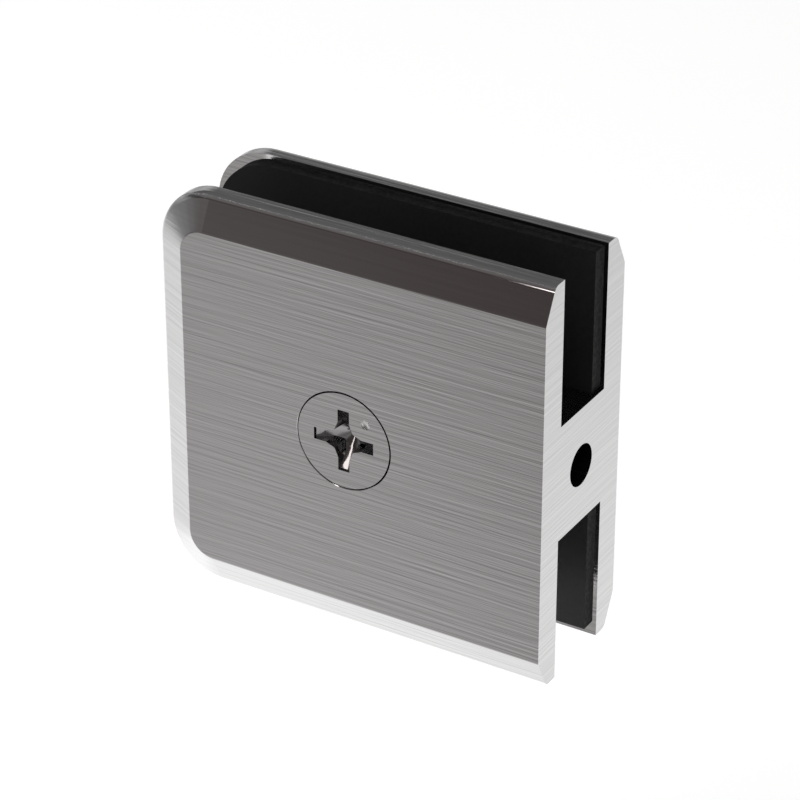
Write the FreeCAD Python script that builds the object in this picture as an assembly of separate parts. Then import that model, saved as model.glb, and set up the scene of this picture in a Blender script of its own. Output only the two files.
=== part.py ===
import FreeCAD, Part
import math
import os

from FreeCAD import Vector

# Bevelled glass clamp for fixing the notched edge of a glass panel to a wall.
# Millimetres. The wall is the plane x = 0 and the clamp reaches from it towards -X.
# The wall screw's axis is the X axis, the front cover faces -Y and +Z is up.

# Plates
clamp_length = 50.8          # from the wall to the rounded left side
clamp_height = 50.8
plate_thickness = 4.0
plate_gap = 10.0             # between the two plates, for the gaskets and the glass
corner_radius = 7.0          # the two corners away from the wall
bevel_width = 4.0            # measured on the outer face
bevel_depth = 2.0            # measured through the plate
rim_round = 1.05             # between the bevel and the flat rim
face_round = 0.45            # between the bevel and the outer face

# Web that joins the plates through the notch in the glass
web_height = 14.6
screw_from_wall = 25.4       # the clamp screw, and the centre of the web's round end

# Passage for the wall screw
wall_bore_diameter = 5.1
wall_bore_length = 12.0
head_passage_diameter = 8.4

# Clamp screw, countersunk
thread_diameter = 6.0
screw_length = 16.0          # over all
head_diameter = 12.0
head_land = 0.3              # straight rim above the cone
head_half_angle = 45.0       # degrees, cone to axis
tip_chamfer = 0.8

# Cross recess in the screw's head, its outline as half widths at its mouth and its deepest plane
recess_depth = 3.1           # at the point of its conical floor
wing_end_depth = 0.45        # at the wings' ends, from where the floor falls to the point
wing_reach_mouth = 3.9
wing_reach_floor = 3.8
wing_half_width_mouth = 0.75
wing_half_width_floor = 0.6
neck_reach_mouth = 2.3
neck_reach_floor = 1.9
core_corner_mouth = 1.2
core_corner_floor = 0.95

# Dimple beside the recess
dimple_radius = 0.6
dimple_depth = 0.2
dimple_offset = 2.9          # along both wings' directions

# Gaskets
gasket_thickness = 2.0
gasket_corner_radius = 7.2
gasket_left_inset = 1.25
gasket_bottom_inset = 1.8
rear_gasket_top_inset = 0.4
rear_gasket_wall_inset = 0.5
front_gasket_top_inset = 1.3
front_gasket_wall_inset = 1.4

# Clearances
head_clearance = 0.15        # round the screw's head, at the face
mouth_edge_break = 0.06      # on the edge of the cover's hole
shank_clearance = 0.2        # round the thread, in the cover
thread_clearance = 0.05      # round the thread, in the web
tip_clearance = 0.5          # below the screw's tip
gasket_notch_clearance = 0.15

# Planes that the sizes above give
plate_inner = plate_gap / 2
rim_edge = plate_inner + plate_thickness - bevel_depth
plate_outer = plate_inner + plate_thickness
half_height = clamp_height / 2
front_face = -plate_outer


def rounded_outline(y, wall_x, left_x, top_z, bottom_z, radius):
    """Closed outline in the plane y: square at the wall, round at the two left corners."""
    diagonal = radius * (1 - math.sqrt(0.5))
    top_wall = Vector(wall_x, y, top_z)
    top_left = Vector(left_x + radius, y, top_z)
    top_middle = Vector(left_x + diagonal, y, top_z - diagonal)
    left_top = Vector(left_x, y, top_z - radius)
    left_bottom = Vector(left_x, y, bottom_z + radius)
    bottom_middle = Vector(left_x + diagonal, y, bottom_z + diagonal)
    bottom_left = Vector(left_x + radius, y, bottom_z)
    bottom_wall = Vector(wall_x, y, bottom_z)
    return Part.Wire([
        Part.LineSegment(top_wall, top_left).toShape(),
        Part.Arc(top_left, top_middle, left_top).toShape(),
        Part.LineSegment(left_top, left_bottom).toShape(),
        Part.Arc(left_bottom, bottom_middle, bottom_left).toShape(),
        Part.LineSegment(bottom_left, bottom_wall).toShape(),
        Part.LineSegment(bottom_wall, top_wall).toShape(),
    ])


def plate_outline(y, inset):
    """Outline of a plate, drawn in from the rim by the inset on its three free sides."""
    return rounded_outline(y, 0, inset - clamp_length, half_height - inset,
                           inset - half_height, corner_radius - inset)


def web_outline(y, margin):
    """Outline of the web: from the wall to a round end about the clamp screw."""
    half = web_height / 2 + margin
    top_wall = Vector(0, y, half)
    top_end = Vector(-screw_from_wall, y, half)
    tip = Vector(-screw_from_wall - half, y, 0)
    bottom_end = Vector(-screw_from_wall, y, -half)
    bottom_wall = Vector(0, y, -half)
    return Part.Wire([
        Part.LineSegment(top_wall, top_end).toShape(),
        Part.Arc(top_end, tip, bottom_end).toShape(),
        Part.LineSegment(bottom_end, bottom_wall).toShape(),
        Part.LineSegment(bottom_wall, top_wall).toShape(),
    ])


def prism(wire, depth):
    """Solid from a closed outline, drawn along Y."""
    return Part.Face(wire).extrude(Vector(0, depth, 0))


def screw_axis_turn(profile):
    """Solid of revolution about the clamp screw's axis from points (radius, y)."""
    points = [Vector(radius - screw_from_wall, y, 0) for radius, y in profile]
    face = Part.Face(Part.makePolygon(points + points[:1]))
    return face.revolve(Vector(-screw_from_wall, 0, 0), Vector(0, 1, 0), 360)


def outline_edges(shape, y):
    """The shape's edges in the plane y that run round its three free sides."""
    return [edge for edge in shape.Edges
            if abs(edge.BoundBox.YMin - y) < 1e-6
            and abs(edge.BoundBox.YMax - y) < 1e-6
            and edge.BoundBox.XMin < -1]


def front_plate_blank():
    """The front plate without its hole: flat rim, bevel on three sides, softened edges."""
    slab = prism(plate_outline(-plate_inner, 0), plate_inner - rim_edge)
    rim = plate_outline(-rim_edge, 0)
    face = plate_outline(front_face, bevel_width)
    bevelled = Part.makeLoft([rim, face], True, True)
    plate = slab.fuse(bevelled).removeSplitter()
    plate = plate.makeFillet(rim_round, outline_edges(plate, -rim_edge))
    return plate.makeFillet(face_round, outline_edges(plate, front_face))


def head_cone_depth(outer_radius, inner_radius):
    """Depth over which the countersunk cone narrows from one radius to the other."""
    return (outer_radius - inner_radius) / math.tan(math.radians(head_half_angle))


def front_plate():
    """Cover: bevelled plate with a countersunk hole for the clamp screw."""
    mouth = head_diameter / 2 + head_clearance
    hole = thread_diameter / 2 + shank_clearance
    land_end = front_face + head_land
    cone_end = land_end + head_cone_depth(mouth, hole)
    cutter = screw_axis_turn([
        (0, front_face - mouth_edge_break),
        (mouth + 2 * mouth_edge_break, front_face - mouth_edge_break),
        (mouth, front_face + mouth_edge_break),
        (mouth, land_end),
        (hole, cone_end),
        (hole, 1 - plate_inner),
        (0, 1 - plate_inner),
    ])
    return front_plate_blank().cut(cutter)


def wall_screw_passage():
    """Bore from the wall to the head's seat, and the wider passage on to the round end."""
    along = Vector(-1, 0, 0)
    bore = Part.makeCylinder(wall_bore_diameter / 2, wall_bore_length + 1, Vector(1, 0, 0), along)
    web_end = screw_from_wall + web_height / 2
    passage = Part.makeCylinder(head_passage_diameter / 2, web_end - wall_bore_length + 1,
                                Vector(-wall_bore_length, 0, 0), along)
    return bore.fuse(passage)


def rear_body():
    """Back plate and web in one piece, bored for the wall screw and the clamp screw."""
    back_plate = front_plate_blank().mirror(Vector(0, 0, 0), Vector(0, 1, 0))
    web = prism(web_outline(-plate_inner, 0), plate_gap)
    radius = thread_diameter / 2 + thread_clearance
    hole_floor = front_face + screw_length + tip_clearance
    screw_hole = Part.makeCylinder(radius, hole_floor + plate_inner,
                                   Vector(-screw_from_wall, -plate_inner, 0), Vector(0, 1, 0))
    body = back_plate.fuse(web).removeSplitter()
    return body.cut(wall_screw_passage()).cut(screw_hole)


def recess_outline(y, reach, half_width, neck, corner):
    """Cross with four wings, each widening from its neck to the corners of the core."""
    points = []
    for quarter in range(4):
        turn = math.radians(90 * quarter)
        along = Vector(math.cos(turn), 0, math.sin(turn))
        across = Vector(-math.sin(turn), 0, math.cos(turn))
        for out, side in ((reach, -half_width), (reach, half_width),
                          (neck, half_width), (corner, corner), (half_width, neck)):
            points.append(Vector(-screw_from_wall, y, 0) + along * out + across * side)
    return Part.makePolygon(points + points[:1])


def cross_recess():
    """Cross with steep walls, over a floor that falls as a cone from the wings' ends."""
    point = front_face + recess_depth
    walls = Part.makeLoft([
        recess_outline(front_face, wing_reach_mouth, wing_half_width_mouth,
                       neck_reach_mouth, core_corner_mouth),
        recess_outline(point, wing_reach_floor, wing_half_width_floor,
                       neck_reach_floor, core_corner_floor),
    ], True, True)
    floor_radius = math.hypot(wing_reach_mouth, wing_half_width_mouth)
    above_floor = screw_axis_turn([
        (0, front_face - 1),
        (floor_radius, front_face - 1),
        (floor_radius, front_face + wing_end_depth),
        (0, point),
    ])
    return walls.common(above_floor)


def dimple():
    """Ball that leaves the round dimple beside the cross recess."""
    ball_radius = (dimple_radius ** 2 + dimple_depth ** 2) / (2 * dimple_depth)
    centre = Vector(dimple_offset - screw_from_wall,
                    front_face + dimple_depth - ball_radius, dimple_offset)
    return Part.makeSphere(ball_radius, centre)


def clamp_screw():
    """Countersunk machine screw, its thread a plain shank of the thread's outer size."""
    head = head_diameter / 2
    shank = thread_diameter / 2
    tip = front_face + screw_length
    land_end = front_face + head_land
    blank = screw_axis_turn([
        (0, front_face),
        (head, front_face),
        (head, land_end),
        (shank, land_end + head_cone_depth(head, shank)),
        (shank, tip - tip_chamfer),
        (shank - tip_chamfer, tip),
        (0, tip),
    ])
    return blank.cut(cross_recess()).cut(dimple())


def gasket(y, top_inset, wall_inset):
    """Flat gasket that starts at the plane y, notched from the wall side round the web."""
    sheet = prism(rounded_outline(y, -wall_inset, gasket_left_inset - clamp_length,
                                  half_height - top_inset, gasket_bottom_inset - half_height,
                                  gasket_corner_radius), gasket_thickness)
    notch = prism(web_outline(y - 1, gasket_notch_clearance), gasket_thickness + 2)
    return sheet.cut(notch)


def rear_gasket():
    return gasket(plate_inner - gasket_thickness, rear_gasket_top_inset, rear_gasket_wall_inset)


def front_gasket():
    return gasket(-plate_inner, front_gasket_top_inset, front_gasket_wall_inset)


nodes = {
    "rear_body": rear_body,
    "front_plate": front_plate,
    "clamp_screw": clamp_screw,
    "rear_gasket": rear_gasket,
    "front_gasket": front_gasket,
}

os.makedirs("parts", exist_ok=True)
for name, make in nodes.items():
    shape = make()
    shape.exportStep("parts/" + name + ".step")
    print(name, len(shape.Solids), shape.isValid(), round(shape.Volume, 2))
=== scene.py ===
import math
import bmesh
import bpy
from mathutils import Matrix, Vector


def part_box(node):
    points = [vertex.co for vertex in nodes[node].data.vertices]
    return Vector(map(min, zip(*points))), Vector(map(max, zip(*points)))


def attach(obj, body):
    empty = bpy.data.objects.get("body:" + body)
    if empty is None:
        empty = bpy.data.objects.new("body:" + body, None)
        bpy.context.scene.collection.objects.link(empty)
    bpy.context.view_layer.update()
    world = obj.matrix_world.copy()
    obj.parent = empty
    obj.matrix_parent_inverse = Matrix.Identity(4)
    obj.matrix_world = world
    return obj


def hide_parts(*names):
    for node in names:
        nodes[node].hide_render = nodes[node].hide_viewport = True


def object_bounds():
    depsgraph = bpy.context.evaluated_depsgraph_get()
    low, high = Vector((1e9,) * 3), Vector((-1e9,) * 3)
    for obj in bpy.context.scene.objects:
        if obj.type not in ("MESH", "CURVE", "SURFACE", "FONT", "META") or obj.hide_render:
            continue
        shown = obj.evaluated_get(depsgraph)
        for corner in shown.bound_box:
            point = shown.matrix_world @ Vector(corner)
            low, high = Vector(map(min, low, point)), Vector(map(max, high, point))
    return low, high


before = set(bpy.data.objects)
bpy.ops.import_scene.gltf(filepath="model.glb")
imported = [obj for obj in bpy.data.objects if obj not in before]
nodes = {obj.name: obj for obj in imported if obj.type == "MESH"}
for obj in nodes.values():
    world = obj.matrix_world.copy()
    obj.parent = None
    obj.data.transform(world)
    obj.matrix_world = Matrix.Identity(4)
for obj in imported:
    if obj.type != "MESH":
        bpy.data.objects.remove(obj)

cad_low, cad_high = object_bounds()
scene = bpy.context.scene

# Places and sizes in metres: the wall side is x = 0, the cover faces -Y and +Z is up

studio_centre = (cad_low + cad_high) / 2
cover_low, cover_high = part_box("front_plate")
screw_low, screw_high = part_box("clamp_screw")
front_face = cover_low.y
cover_thickness = cover_high.y - cover_low.y
screw_axis_x = (screw_low.x + screw_high.x) / 2
head_radius = 0.006
mouth_radius = head_radius + 0.00015     # of the countersunk hole, at the cover's face
wing_start = 0.0012                      # of the cross recess, from the screw's axis
dimple_radius = 0.0006
dimple_offset = 0.0029                   # from the screw's axis, both across and up
passage_radius = 0.0042                  # of the wall screw's way through the web
brushing_depth = 0.000033

# Thread of the clamp screw, just inside the plain shank of the CAD's screw
thread_radius = 0.00299
thread_root = 0.00241
thread_pitch = 0.001
thread_start = front_face + 0.0033       # where the head's cone ends
tip_chamfer = 0.0008
steps_per_turn = 24

# Colours of the metal; the recess, cone and bore colours are painted shade, and the dimple's is a painted
# highlight
nickel_dark = (0.732, 0.725, 0.725, 1)
nickel_bright = (0.792, 0.785, 0.785, 1)
recess_painted_shade_low = (0.36, 0.355, 0.355, 1)
recess_painted_shade_high = (0.48, 0.475, 0.475, 1)
dimple_painted_highlight = (0.95, 0.94, 0.94, 1)
cone_painted_shade = (0.25, 0.235, 0.23, 1)
bore_painted_shade = (0.2, 0.19, 0.19, 1)

# How bright the surround is in metal's reflections, from straight below, at -1, to straight above, at 1
light_by_height = [
    (-1.0, 1.15), (-0.9, 1.13), (-0.8, 1.2), (-0.72, 1.19), (-0.65, 1.15), (-0.6, 1.04),
    (-0.55, 0.985), (-0.5, 0.88), (-0.45, 0.8), (-0.38, 0.705), (-0.3, 0.585), (-0.2, 0.37),
    (-0.1, 0.25), (0.0, 0.231), (0.1, 0.287), (0.2, 0.317), (0.3, 0.258), (0.36, 0.165),
    (0.4, 0.09), (0.45, 0.06), (0.5, 0.05),
]

# How that changes from the dark front, at -1, round to the pale side behind the clamp, at 1
pale_side = (-0.6713, 0.7412, 0.0)
light_by_side = [
    (-1.0, 0.9), (-0.62, 0.5), (-0.5, 0.24), (-0.42, 0.183), (-0.36, 0.244), (-0.32, 0.297),
    (-0.28, 0.355), (-0.24, 0.393), (-0.2, 0.441), (-0.13, 0.406), (0.0, 0.428), (0.13, 0.544),
    (0.3, 0.928), (0.5, 1.0), (0.6, 0.99), (0.9, 1.44),
]

# The same turn, for light from well above
light_from_above = [
    (-1.0, 0.2), (-0.6, 0.1), (-0.4, 0.06), (-0.2, 0.1), (0.0, 0.14), (0.3, 0.125),
    (0.7, 0.112), (0.9, 0.11),
]


# Shader nodes

class Shader:
    """A node tree being built: adds nodes, links them and sets what isn't linked."""

    def __init__(self, tree, kind):
        self.tree = tree
        self.tree.nodes.clear()
        self.output = self.node(kind)
        self.place = self.node("ShaderNodeTexCoord")

    def node(self, kind, **settings):
        node = self.tree.nodes.new(kind)
        for name, value in settings.items():
            setattr(node, name, value)
        return node

    def fill(self, socket, value):
        if isinstance(value, bpy.types.NodeSocket):
            self.tree.links.new(value, socket)
        else:
            socket.default_value = value

    def math(self, operation, first, second=None, third=None, clamp=False):
        node = self.node("ShaderNodeMath", operation=operation, use_clamp=clamp)
        for socket, value in zip(node.inputs, (first, second, third)):
            if value is not None:
                self.fill(socket, value)
        return node.outputs[0]

    def product(self, first, second):
        return self.math("MULTIPLY", first, second)

    def length(self, first, second):
        return self.math("SQRT", self.math("MULTIPLY_ADD", second, second, self.product(first, first)))

    def scaled(self, vector, scale):
        node = self.node("ShaderNodeVectorMath", operation="MULTIPLY")
        self.fill(node.inputs[0], vector)
        node.inputs[1].default_value = scale
        return node.outputs[0]

    def facing(self, direction, axis):
        """1 where the direction is the axis, and -1 where it is opposite."""
        node = self.node("ShaderNodeVectorMath", operation="DOT_PRODUCT")
        self.fill(node.inputs[0], direction)
        node.inputs[1].default_value = axis
        return node.outputs["Value"]

    def parts_of(self, vector):
        node = self.node("ShaderNodeSeparateXYZ")
        self.fill(node.inputs[0], vector)
        return node.outputs

    def between(self, value, low, high, out_low=0.0, out_high=1.0):
        """Smooth step from the first level to the second while the value goes from low to high."""
        node = self.node("ShaderNodeMapRange", interpolation_type="SMOOTHSTEP")
        self.fill(node.inputs["Value"], value)
        node.inputs["From Min"].default_value = low
        node.inputs["From Max"].default_value = high
        node.inputs["To Min"].default_value = out_low
        node.inputs["To Max"].default_value = out_high
        return node.outputs["Result"]

    def below(self, value, low, high):
        return self.between(value, low, high, 1.0, 0.0)

    def ramp(self, value, stops):
        """Level read off between stops that are given from -1 to 1."""
        node = self.node("ShaderNodeValToRGB")
        highest = max(level for place, level in stops)
        elements = node.color_ramp.elements
        while len(elements) < len(stops):
            elements.new(0.5)
        for element, (place, level) in zip(elements, stops):
            element.position = (place + 1) / 2
            element.color = (level / highest, level / highest, level / highest, 1)
        self.fill(node.inputs[0], self.math("MULTIPLY_ADD", value, 0.5, 0.5))
        return self.product(node.outputs[0], highest)

    def mix(self, kind, factor, first, second, places, result):
        node = self.node("ShaderNodeMix", data_type=kind)
        self.fill(node.inputs[0], factor)
        self.fill(node.inputs[places[0]], first)
        self.fill(node.inputs[places[1]], second)
        return node.outputs[result]

    def mixed(self, factor, first, second):
        return self.mix("FLOAT", factor, first, second, (2, 3), 0)

    def mixed_vector(self, factor, first, second):
        return self.mix("VECTOR", factor, first, second, (4, 5), 1)

    def mixed_colour(self, factor, first, second):
        return self.mix("RGBA", factor, first, second, (6, 7), 2)


class Finish(Shader):
    """A material of the clamp. Its patterns lie in the clamp's own coordinates."""

    def __init__(self, name):
        self.material = bpy.data.materials.new(name)
        self.material.use_nodes = True
        super().__init__(self.material.node_tree, "ShaderNodeOutputMaterial")
        self.position = self.place.outputs["Object"]
        self.normal = self.place.outputs["Normal"]

    def noise(self, vector, scale, detail, roughness):
        node = self.node("ShaderNodeTexNoise")
        self.fill(node.inputs["Vector"], vector)
        node.inputs["Scale"].default_value = scale
        node.inputs["Detail"].default_value = detail
        node.inputs["Roughness"].default_value = roughness
        return node.outputs["Fac"]

    def stretched(self, noise, low=0.0, high=1.0):
        """The noise's middle range, spread from one level to another."""
        return self.between(noise, 0.3, 0.7, low, high)

    def bump(self, height, strength, distance):
        node = self.node("ShaderNodeBump")
        self.fill(node.inputs["Height"], height)
        node.inputs["Strength"].default_value = strength
        node.inputs["Distance"].default_value = distance
        return node.outputs["Normal"]

    def surface(self, **values):
        node = self.node("ShaderNodeBsdfPrincipled")
        for name, value in values.items():
            self.fill(node.inputs[name.replace("_", " ")], value)
        self.tree.links.new(node.outputs[0], self.output.inputs["Surface"])


def grey(level):
    return (level, level, level, 1)


# Brushed metal

def streaks(finish, level_face, along_scale, across_scale, detail):
    """Noise drawn out along the brushing: level round the clamp, along X on its top and bottom edges."""
    level = finish.scaled(finish.position, (along_scale, along_scale, across_scale))
    along_x = finish.scaled(finish.position, (along_scale, across_scale, along_scale))
    return finish.noise(finish.mixed_vector(level_face, level, along_x), 1.0, detail, 0.5)


def across_the_brushing(finish, level_face):
    """Direction across the streaks, along which the finish spreads its reflections."""
    up = finish.node("ShaderNodeCombineXYZ")
    up.inputs[2].default_value = 1.0
    deep = finish.node("ShaderNodeCombineXYZ")
    deep.inputs[1].default_value = 1.0
    turned = finish.node("ShaderNodeVectorTransform", vector_type="VECTOR", convert_from="OBJECT",
                         convert_to="WORLD")
    finish.fill(turned.inputs[0], finish.mixed_vector(level_face, up.outputs[0], deep.outputs[0]))
    return turned.outputs[0]


def brushing(finish):
    """Colour, roughness, relief and spread of the brushing.

    The relief is shallower on the wall side, and fades on the bevels that look up.
    """
    facing_wall, facing_back, facing_up = finish.parts_of(finish.normal)
    level_face = finish.between(finish.math("ABSOLUTE", facing_up), 0.75, 0.85)
    wall_side = finish.between(facing_wall, 0.8, 0.9)
    upper_bevel = finish.product(finish.between(facing_up, 0.2, 0.3), finish.below(facing_up, 0.6, 0.75))
    fine = streaks(finish, level_face, 60, 2700, 3.0)
    broad = streaks(finish, level_face, 14, 420, 2.0)
    tone = finish.math("ADD", finish.stretched(fine, 0.0, 0.7), finish.stretched(broad, 0.0, 0.3))
    colour = finish.mixed_colour(tone, nickel_dark, nickel_bright)
    roughness = finish.mixed(upper_bevel, finish.stretched(fine, 0.09, 0.12), 0.05)
    relief = finish.mixed(finish.product(wall_side, 0.42), fine, 0.5)
    relief = finish.mixed(upper_bevel, relief, 0.5)
    return colour, roughness, relief, across_the_brushing(finish, level_face)


def metal_surface(finish, colour, roughness, relief, spread):
    finish.surface(
        Base_Color=colour,
        Metallic=1.0,
        Roughness=roughness,
        Anisotropic=0.6,
        Tangent=spread,
        Normal=finish.bump(relief, 1.0, brushing_depth),
    )


# Plates and web

def wall_screw_bore(finish):
    """The passage for the wall screw, which lies along the X axis and opens in the wall face."""
    x, y, z = finish.parts_of(finish.position)
    near = finish.below(finish.length(y, z), passage_radius + 0.0001, passage_radius + 0.00015)
    return finish.product(near, finish.below(x, -0.0003, -0.0001))


def from_screw_axis(finish):
    """Distance from the clamp screw's axis, and depth below the cover's face."""
    x, y, z = finish.parts_of(finish.position)
    across = finish.math("SUBTRACT", x, screw_axis_x)
    return finish.length(across, z), finish.math("SUBTRACT", y, front_face)


def countersink(finish):
    """The hole in the cover, below the broken edge of its mouth."""
    distance, depth = from_screw_axis(finish)
    near = finish.below(distance, mouth_radius + 0.00015, mouth_radius + 0.00025)
    below_face = finish.between(depth, 0.00004, 0.00008)
    above_back = finish.below(depth, cover_thickness - 0.0003, cover_thickness - 0.0001)
    return finish.product(near, finish.product(below_face, above_back))


def brushed_nickel(name, inside):
    """Satin metal of the plates and web, brushed in straight level lines.

    The mask that the function inside gives marks a bored hole, where darker metal is painted shade.
    """
    finish = Finish(name)
    colour, roughness, relief, spread = brushing(finish)
    bore_shade_mask = inside(finish)
    metal_surface(
        finish,
        # painted shade: darker metal inside the bored hole
        colour=finish.mixed_colour(bore_shade_mask, colour, bore_painted_shade),
        roughness=finish.mixed(bore_shade_mask, roughness, 0.3),
        relief=relief,
        spread=spread,
    )
    return finish.material


# Clamp screw

def dimple(finish):
    """Where the dimple is, and a slope that turns its reflections towards the light."""
    x, y, z = finish.parts_of(finish.position)
    across = finish.math("SUBTRACT", x, screw_axis_x + dimple_offset)
    up = finish.math("SUBTRACT", z, dimple_offset)
    dimpled = finish.below(finish.length(across, up), dimple_radius + 0.0001, dimple_radius + 0.0002)
    return dimpled, finish.product(finish.math("ADD", across, up), 3000.0)


def recess_relief(finish, spots):
    """Recess's floor: grained in its upper and right wings, and tilted to the light in its lower one."""
    x, y, z = finish.parts_of(finish.position)
    across = finish.math("SUBTRACT", x, screw_axis_x)
    upper_right = finish.between(finish.math("ADD", across, z), wing_start, 0.002)
    grains = finish.noise(finish.position, 6000.0, 1.0, 0.5)
    cast = finish.mixed(finish.product(upper_right, 0.7), finish.mixed(0.5, spots, 0.5),
                        finish.product(grains, 2.0))
    lower_wing = finish.below(z, -0.002, -wing_start)
    tilt_up = finish.product(finish.math("ADD", z, 0.0016), -1500.0)
    tilt = finish.math("MULTIPLY_ADD", across, -2000.0, tilt_up)
    return finish.mixed(lower_wing, cast, tilt)


def screw_nickel(name):
    """The screw: a head brushed with the cover, a polished recess and dimple, a cone; the recess and cone
    are darkened by painted shade, the dimple made paler by a painted highlight.
    """
    finish = Finish(name)
    colour, roughness, relief, spread = brushing(finish)
    distance, depth = from_screw_axis(finish)
    dimpled, slope = dimple(finish)
    spots = finish.noise(finish.position, 900.0, 3.0, 0.6)
    below_face = finish.between(depth, 0.00002, 0.00006)
    cone = finish.between(distance, head_radius - 0.0007, head_radius - 0.0005)
    # painted shade: the recess is darker than the head, with random spots of tone
    recess_shade_dimple_highlight = finish.mixed_colour(spots, recess_painted_shade_low, recess_painted_shade_high)
    # painted highlight: the dimple is paler than the head
    recess_shade_dimple_highlight = finish.mixed_colour(dimpled, recess_shade_dimple_highlight, dimple_painted_highlight)
    # painted shade: the cone in the ring gap round the head is dark
    sunk_painted_shade_and_highlight = finish.mixed_colour(cone, recess_shade_dimple_highlight, cone_painted_shade)
    sunk_roughness = finish.mixed(dimpled, finish.stretched(spots, 0.07, 0.12), 0.25)
    sunk_relief = finish.mixed(dimpled, recess_relief(finish, spots), slope)
    metal_surface(
        finish,
        colour=finish.mixed_colour(below_face, colour, sunk_painted_shade_and_highlight),
        roughness=finish.mixed(below_face, roughness, sunk_roughness),
        relief=finish.mixed(below_face, relief, sunk_relief),
        spread=spread,
    )
    return finish.material


# Gaskets

def black_rubber(name, low_y, high_y):
    """Gasket: smooth black sheet with a darker cut edge, whose half towards -Y has painted light and whose
    half towards +Y has painted shade.
    """
    finish = Finish(name)
    grain = finish.noise(finish.position, 2600.0, 3.0, 0.6)
    cloud = finish.noise(finish.position, 120.0, 2.0, 0.5)
    torn = finish.stretched(finish.noise(finish.position, 1500.0, 2.0, 0.6))
    tone = finish.math("ADD", finish.stretched(grain, 0.0, 0.6), finish.stretched(cloud, 0.0, 0.4))
    sheet = finish.mixed_colour(tone, grey(0.010), grey(0.016))
    middle = (low_y + high_y) / 2
    # the cut edge's two halves: painted light on the -Y half, painted shade on the +Y half
    painted_shade_half = finish.between(finish.parts_of(finish.position)[1], middle - 0.00005, middle + 0.00005)
    edge_painted_shade = finish.mixed_colour(torn, grey(0.0015), grey(0.0055))
    edge_painted_light = finish.mixed_colour(torn, grey(0.002), grey(0.0075))
    facing_glass = finish.math("ABSOLUTE", finish.parts_of(finish.normal)[1])
    finish.surface(
        Base_Color=finish.mixed_colour(finish.below(facing_glass, 0.4, 0.8), sheet,
                                       finish.mixed_colour(painted_shade_half, edge_painted_light, edge_painted_shade)),
        Roughness=finish.stretched(grain, 0.42, 0.58),
        Specular_IOR_Level=0.15,
        Normal=finish.bump(grain, 0.15, 0.00003),
    )
    return finish.material


def give(node, material):
    mesh = nodes[node].data
    mesh.materials.clear()
    mesh.materials.append(material)


give("rear_body", brushed_nickel("brushed_nickel_body", wall_screw_bore))
give("front_plate", brushed_nickel("brushed_nickel_cover", countersink))
give("clamp_screw", screw_nickel("screw_nickel"))
for gasket in ("rear_gasket", "front_gasket"):
    gasket_low, gasket_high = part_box(gasket)
    give(gasket, black_rubber(gasket + "_rubber", gasket_low.y, gasket_high.y))
nodes["rear_gasket"].visible_glossy = False    # its lit edge stays out of the dark line along the rim


# The clamp screw with its thread, which shows when the cover is drawn off

def clear_beyond(shape, y, keep_below):
    """Cuts the shape at the plane y, keeps one side of it and closes the cut."""
    cut = bmesh.ops.bisect_plane(
        shape, geom=shape.verts[:] + shape.edges[:] + shape.faces[:], dist=1e-7,
        plane_co=(0, y, 0), plane_no=(0, 1, 0), clear_outer=keep_below, clear_inner=not keep_below)
    rim = [part for part in cut["geom_cut"] if isinstance(part, bmesh.types.BMEdge)]
    bmesh.ops.contextual_create(shape, geom=rim)


def chamfer_tip(shape):
    tip_start = screw_high.y - tip_chamfer
    for corner in shape.verts:
        reach = math.hypot(corner.co.x - screw_axis_x, corner.co.z)
        allowed = thread_radius - max(0.0, corner.co.y - tip_start)
        if reach > allowed:
            corner.co.x = screw_axis_x + (corner.co.x - screw_axis_x) * allowed / reach
            corner.co.z *= allowed / reach


def screw_thread():
    """Helical thread: one tooth's profile, turned about the screw's axis and cut to length."""
    shape = bmesh.new()
    first = thread_start - 1.5 * thread_pitch
    # Radius, and how far along the pitch
    profile = [(thread_radius, 0.0), (thread_radius, 0.12), (thread_root, 0.47),
               (thread_root, 0.65), (thread_radius, 1.0)]
    corners = [shape.verts.new((screw_axis_x + radius, first + along * thread_pitch, 0))
               for radius, along in profile]
    edges = [shape.edges.new(pair) for pair in zip(corners, corners[1:])]
    turns = math.ceil((screw_high.y - first) / thread_pitch) + 1
    bmesh.ops.spin(shape, geom=corners + edges, cent=(screw_axis_x, 0, 0), axis=(0, 1, 0),
                   dvec=(0, thread_pitch / steps_per_turn, 0), angle=2 * math.pi * turns,
                   steps=steps_per_turn * turns, use_merge=False)
    bmesh.ops.remove_doubles(shape, verts=shape.verts, dist=2e-6)
    clear_beyond(shape, screw_high.y - 0.00001, True)
    clear_beyond(shape, thread_start - 0.0001, False)
    chamfer_tip(shape)
    bmesh.ops.recalc_face_normals(shape, faces=shape.faces)
    return shape


def corners_of(mesh):
    """Each corner's number, with its face's centre and its point as a key, in thousandths of a mm."""
    for face in mesh.polygons:
        for corner in face.loop_indices:
            point = mesh.vertices[mesh.loops[corner].vertex_index].co
            yield corner, tuple(round(1e6 * value) for value in (*face.center, *point))


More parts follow.
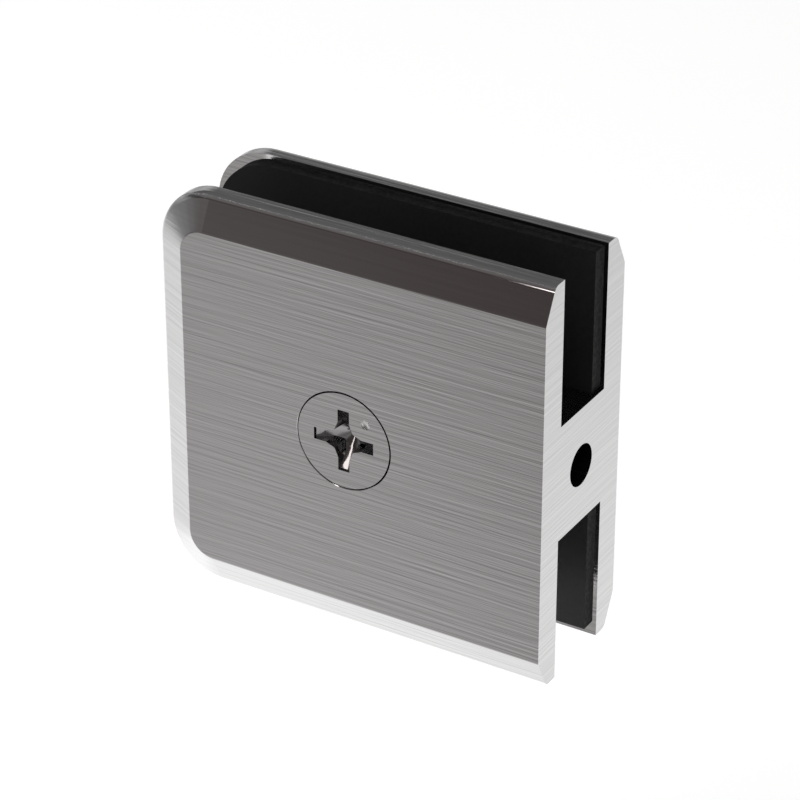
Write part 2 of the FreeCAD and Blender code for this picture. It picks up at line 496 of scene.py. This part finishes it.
def threaded_screw():
    """The frame's own head down to its cone's end, with the thread below it, as one piece."""
    cad = nodes["clamp_screw"].data
    head_normals = {key: cad.corner_normals[corner].vector.copy() for corner, key in corners_of(cad)}
    mesh = cad.copy()
    mesh.name = "threaded_clamp_screw"
    shape = bmesh.new()
    shape.from_mesh(mesh)
    bmesh.ops.remove_doubles(shape, verts=shape.verts, dist=1e-7)
    shank = [face for face in shape.faces
             if min(corner.co.y for corner in face.verts) > thread_start - 1e-6]
    bmesh.ops.delete(shape, geom=shank, context="FACES")
    bmesh.ops.holes_fill(shape, edges=shape.edges)
    thread = screw_thread()
    thread_mesh = bpy.data.meshes.new("thread")
    thread.to_mesh(thread_mesh)
    thread.free()
    shape.from_mesh(thread_mesh)
    shape.to_mesh(mesh)
    shape.free()
    mesh.attributes.remove(mesh.attributes["custom_normal"])
    mesh.shade_smooth()
    mesh.set_sharp_from_angle(angle=math.radians(30))
    normals = [tuple(normal.vector) for normal in mesh.corner_normals]
    for corner, key in corners_of(mesh):
        normals[corner] = tuple(head_normals.get(key, normals[corner]))
    mesh.normals_split_custom_set(normals)
    piece = bpy.data.objects.new("threaded_clamp_screw", mesh)
    scene.collection.objects.link(piece)
    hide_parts("clamp_screw")
    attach(piece, "screw")


threaded_screw()


# Studio: white floor and surround, with the soft fall of light that metal reflects

class Studio(Shader):
    """Nodes shared by the floor and the surround."""

    def __init__(self, tree, kind):
        super().__init__(tree, kind)
        self.path = self.node("ShaderNodeLightPath")

    def shown(self):
        """1 for rays from the camera and for those that metal or glass sends on."""
        rays = self.path.outputs
        seen = self.math("ADD", rays["Is Camera Ray"], rays["Is Glossy Ray"], clamp=True)
        return self.math("ADD", seen, rays["Is Transmission Ray"], clamp=True)

    def white_or_falling(self, direction):
        """White, but for metal the light falls off by direction, a little warmer at the front."""
        height = self.parts_of(direction)[2]
        side = self.facing(direction, pale_side)
        level = self.product(self.ramp(height, light_by_height), self.ramp(side, light_by_side))
        level = self.mixed(self.between(height, 0.38, 0.6), level, self.ramp(side, light_from_above))
        warmth = self.between(side, -0.2, 0.3, 0.011, 0.0)
        falling = self.node("ShaderNodeCombineColor")
        self.fill(falling.inputs[0], self.math("ADD", level, warmth))
        self.fill(falling.inputs[1], level)
        self.fill(falling.inputs[2], level)
        return self.mixed_colour(self.path.outputs["Is Glossy Ray"], grey(1), falling.outputs[0])

    def shader(self, kind, **values):
        node = self.node(kind)
        for name, value in values.items():
            self.fill(node.inputs[name], value)
        return node.outputs[0]

    def joined(self, kind, *parts):
        """Output of the joining node, with its inputs filled in order."""
        node = self.node(kind)
        for socket, part in zip(node.inputs, parts):
            self.fill(socket, part)
        return node.outputs[0]


def studio_surround(name, soft_light):
    """Surround that is white where it is seen, and a soft even light where it isn't."""
    world = bpy.data.worlds.new(name)
    scene.world = world
    world.use_nodes = True
    studio = Studio(world.node_tree, "ShaderNodeOutputWorld")
    seen = studio.shader("ShaderNodeBackground", Strength=1.0,
                         Color=studio.white_or_falling(studio.place.outputs["Generated"]))
    soft = studio.shader("ShaderNodeBackground", Strength=soft_light, Color=grey(1))
    studio.fill(studio.output.inputs["Surface"],
                studio.joined("ShaderNodeMixShader", studio.shown(), soft, seen))


def floor_white(name, lift):
    """Pale floor that keeps shadows, lifted to the white of the surround where it is seen."""
    material = bpy.data.materials.new(name)
    material.use_nodes = True
    studio = Studio(material.node_tree, "ShaderNodeOutputMaterial")
    paint = studio.shader("ShaderNodeBsdfDiffuse", Color=grey(0.8))
    glow = studio.shader("ShaderNodeEmission", Color=grey(1),
                         Strength=studio.product(studio.shown(), lift))
    studio.fill(studio.output.inputs["Surface"], studio.joined("ShaderNodeAddShader", paint, glow))
    return material


def studio_floor(half_width, drop):
    shape = bmesh.new()
    bmesh.ops.create_grid(shape, x_segments=1, y_segments=1, size=half_width)
    bmesh.ops.translate(shape, vec=(studio_centre.x, studio_centre.y, cad_low.z - drop), verts=shape.verts)
    mesh = bpy.data.meshes.new("floor")
    shape.to_mesh(mesh)
    shape.free()
    mesh.materials.append(floor_white("floor_white", 0.32))
    floor = bpy.data.objects.new("floor", mesh)
    scene.collection.objects.link(floor)
    floor.visible_glossy = False    # metal shows the surround's light from below in its place


def soft_lamp(name, place, width, height, power, colour, in_reflections):
    """Oblong lamp that points at the clamp and that the camera doesn't see."""
    light = bpy.data.lights.new(name, "AREA")
    light.shape = "RECTANGLE"
    light.size = width
    light.size_y = height
    light.energy = power
    light.color = colour
    lamp = bpy.data.objects.new(name, light)
    scene.collection.objects.link(lamp)
    lamp.location = place
    lamp.rotation_mode = "QUATERNION"
    lamp.rotation_quaternion = (studio_centre - Vector(place)).to_track_quat("-Z", "Y")
    lamp.visible_camera = False
    lamp.visible_glossy = in_reflections


studio_floor(half_width=3.0, drop=0.075)
studio_surround("studio", soft_light=0.6)
soft_lamp("overhead_lamp", (-0.4, -0.35, 0.85), 0.7, 0.7, 4.0, (1, 1, 1), False)
soft_lamp("side_lamp", (0.7, -0.3, 0.35), 0.6, 0.6, 0.4, (1, 1, 1), False)
soft_lamp("lower_lamp", (-0.035, -0.012, -0.06), 0.06, 0.03, 0.1, (1, 1, 1), False)
soft_lamp("strip_lamp", (-0.238, -0.52, 0.54), 0.1, 0.48, 0.33, (1.0, 0.93, 0.92), True)


# Camera at the photograph's angle

camera_place = Vector((0.14810, -0.28779, 0.19079))
camera_aim = Vector((-0.02411, 0.00124, 0.00072))
camera_data = bpy.data.cameras.new("camera")
camera_data.sensor_width = 36.0
camera_data.lens = 152.19
camera_data.clip_start = 0.01
camera_data.clip_end = 20.0
camera = bpy.data.objects.new("camera", camera_data)
scene.collection.objects.link(camera)
camera.location = camera_place
camera.rotation_mode = "QUATERNION"
camera.rotation_quaternion = (camera_aim - camera_place).to_track_quat("-Z", "Y")
scene.camera = camera

scene.view_settings.view_transform = "Standard"
